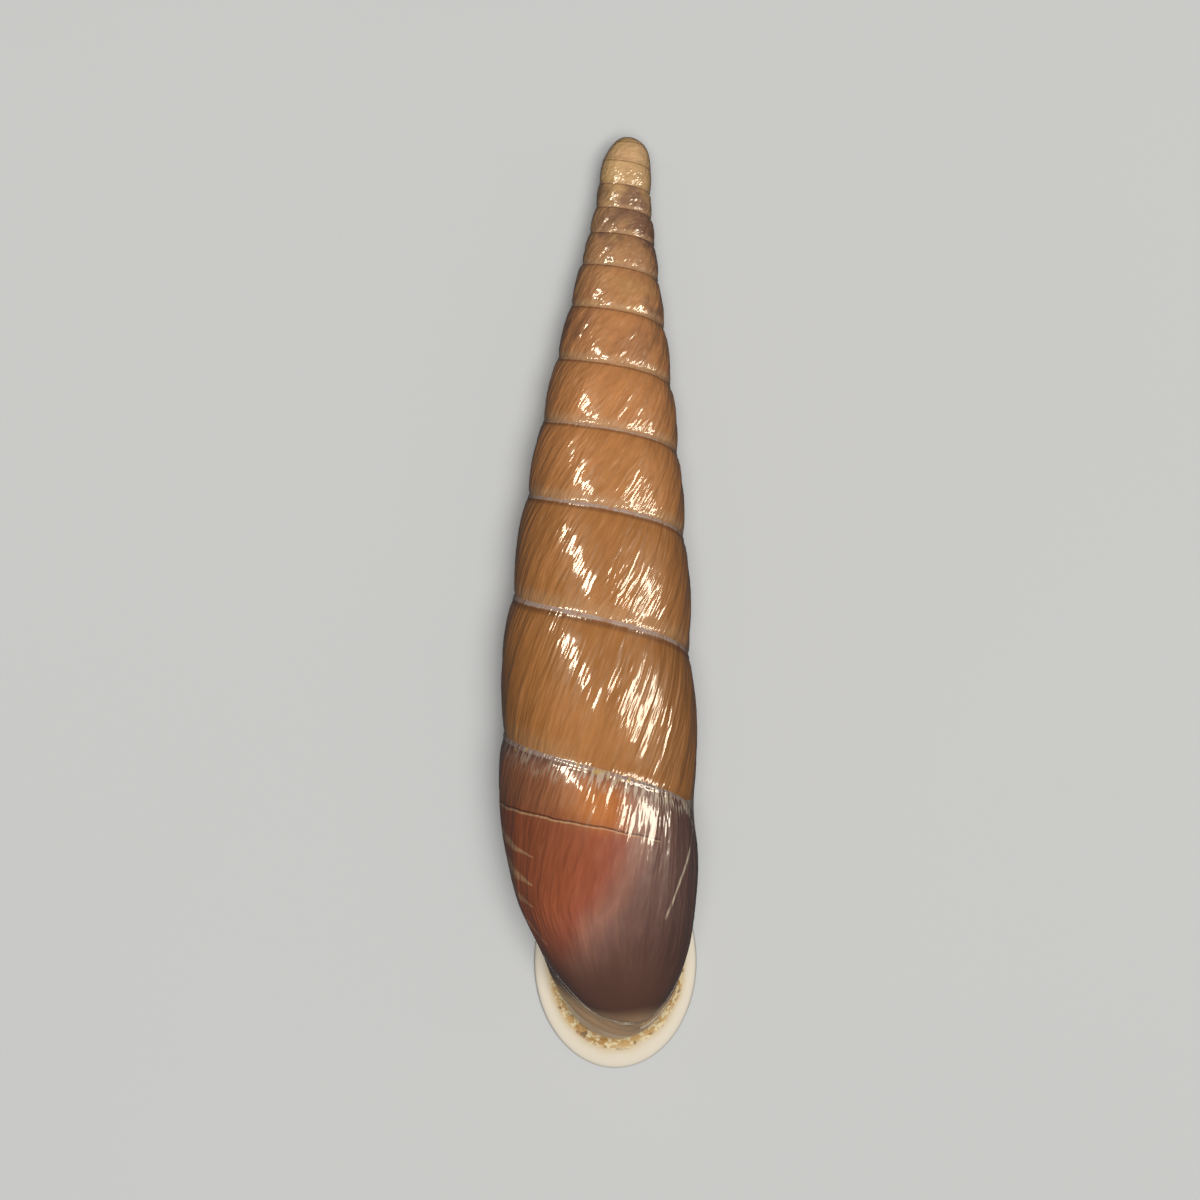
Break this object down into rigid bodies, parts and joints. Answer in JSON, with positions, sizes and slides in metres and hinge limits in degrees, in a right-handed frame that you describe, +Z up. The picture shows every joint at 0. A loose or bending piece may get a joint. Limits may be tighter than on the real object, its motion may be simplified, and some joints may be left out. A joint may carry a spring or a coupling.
{
  "type": "door snail shell",
  "caption": "Slender left-handed door snail shell, brown and glossy, tapering to a blunt tip, with a projecting white lip round its open mouth; it lies on its mouth.",
  "frame": {"origin": "middle of the bounding box in X and Y, at the surface that the shell lies on", "axes": "+Z up, away from the surface that the shell lies on; +Y along the shell towards its tip; +X towards the side on which the last whorl turns down to the mouth"},
  "size_m": [0.0082, 0.039, 0.0084],
  "materials": {
    "shell": "glossy brown shell with fine growth lines, paler at the tip, and a white to tan lip"
  },
  "bodies": {
    "root": {"shell": "shell"}
  },
  "joints": []
}
